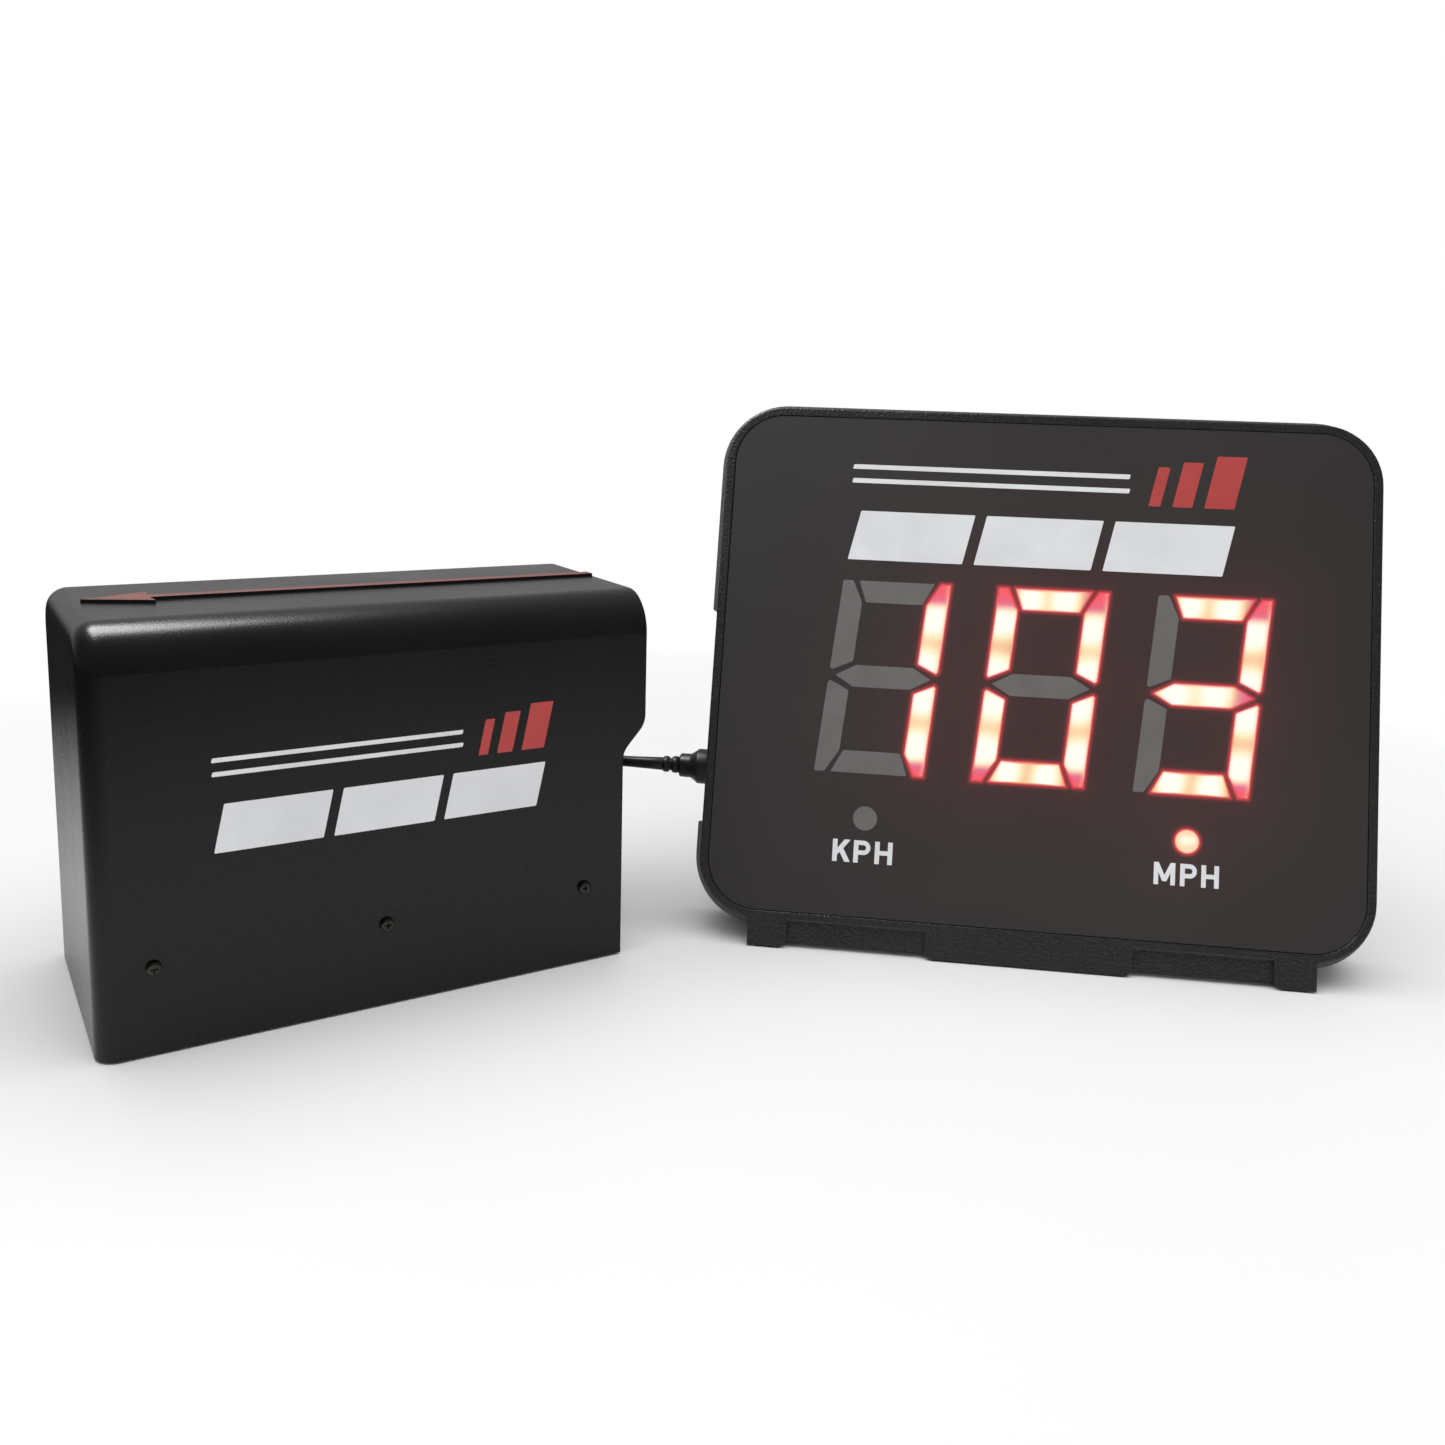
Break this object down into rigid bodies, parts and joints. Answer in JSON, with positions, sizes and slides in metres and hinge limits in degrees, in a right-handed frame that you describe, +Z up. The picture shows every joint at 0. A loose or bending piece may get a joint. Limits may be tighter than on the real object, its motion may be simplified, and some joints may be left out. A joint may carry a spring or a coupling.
{
  "type": "speed radar display set",
  "caption": "Boxy radar head with a raised aiming arrow, wired to an upright seven-segment LED speed display that leans back on a folding prop.",
  "frame": {"origin": "centre of the footprint of both units as they stand, on the ground plane z = 0, free cord left out", "axes": "+Z up; +X to the viewer's right along both units; the display faces -Y; the radar head is turned 40.1 degrees and looks towards -X and -Y"},
  "size_m": [0.6346, 0.3118, 0.2725],
  "materials": {
    "arrow_red": "satin",
    "bare_metal": "satin",
    "black_screw": "black oxide",
    "black_sheet": "powder coat",
    "board_green": "solder mask",
    "brass": "machined",
    "case_black": "fine texture",
    "cell_wrap": "gloss wrap",
    "chip_black": "moulded",
    "copper": "plated",
    "cord_black": "satin",
    "cover_black": "satin",
    "frame_black": "fine texture",
    "led_body": "clear",
    "lens_grey": "clear lens",
    "light_box_white": "matte",
    "overlay_charcoal": "matte film",
    "ribbon_grey": "smooth",
    "rubber_black": "matte",
    "segment_diffuser": "smoked diffuser",
    "shell_grey": "fine texture",
    "steel_screw": "bright",
    "switch_black": "smooth"
  },
  "bodies": {
    "radar_set": {"aim_arrow": "arrow_red", "antenna_board": "board_green", "antenna_bracket": "bare_metal", "antenna_patches": "copper", "antenna_ribbon": "ribbon_grey", "antenna_screws": "steel_screw", "antenna_shield": "bare_metal", "antenna_spacers": "bare_metal", "battery_cells": "cell_wrap", "battery_contacts": "bare_metal", "battery_tray": "case_black", "board_screws": "steel_screw", "board_standoffs": "brass", "cable_boot": "cord_black", "charge_jack": "bare_metal", "cover_screws": "black_screw", "digit_hundreds": "segment_diffuser", "digit_ones": "segment_diffuser", "digit_tens": "segment_diffuser", "display_board_screws": "steel_screw", "display_frame": "frame_black", "display_overlay": "overlay_charcoal", "display_shell": "shell_grey", "display_tripod_insert": "brass", "driver_board": "board_green", "driver_chips": "chip_black", "driver_standoffs": "brass", "foot_pads": "rubber_black", "head_base": "black_sheet", "head_cover": "cover_black", "head_feet": "rubber_black", "head_rear_panel": "case_black", "head_tripod_insert": "brass", "jack_nut": "bare_metal", "kickstand_pin": "steel_screw", "led_board": "board_green", "leds": "led_body", "light_box": "light_box_white", "link_cable_coil": "cord_black", "link_cable_display": "cord_black", "link_cable_head": "cord_black", "plug_body": "cord_black", "plug_boot": "cord_black", "rear_panel_screws": "black_screw", "shell_screws": "black_screw", "side_socket": "case_black", "signal_board": "board_green", "signal_chips": "chip_black", "status_light": "lens_grey", "switch_housing": "case_black", "tact_switches": "chip_black", "unit_lenses": "segment_diffuser"},
    "kickstand": {"kickstand": "shell_grey", "kickstand_foot": "rubber_black"},
    "battery_door": {"battery_door": "case_black"},
    "switch_rocker": {"switch_rocker": "switch_black"},
    "power_button": {"power_button": "switch_black"},
    "unit_button": {"unit_button": "switch_black"}
  },
  "joints": [
    {"name": "kickstand_swing", "type": "hinge", "parent": "radar_set", "child": "kickstand", "pos_m": [0.14572, 0.11113, 0.15865], "axis": [1, 0, 0], "range_deg": [-30, 0]},
    {"name": "battery_door_hinge", "type": "hinge", "parent": "radar_set", "child": "battery_door", "pos_m": [-0.1876, -0.03268, 0.0025], "axis": [-0.6441, 0.7649, 0], "range_deg": [0, 95]},
    {"name": "switch_rock", "type": "hinge", "parent": "radar_set", "child": "switch_rocker", "pos_m": [-0.11658, 0.05849, 0.066], "axis": [0.6441, -0.7649, 0], "range_deg": [0, 18]},
    {"name": "power_button_press", "type": "slide", "parent": "radar_set", "child": "power_button", "axis": [0, -0.9622, 0.2723], "range_m": [0, 0.0012], "stiffness_N_per_m": 500, "springref_m": -0.0004},
    {"name": "unit_button_press", "type": "slide", "parent": "radar_set", "child": "unit_button", "axis": [0, -0.9622, 0.2723], "range_m": [0, 0.0012], "stiffness_N_per_m": 500, "springref_m": -0.0004}
  ]
}
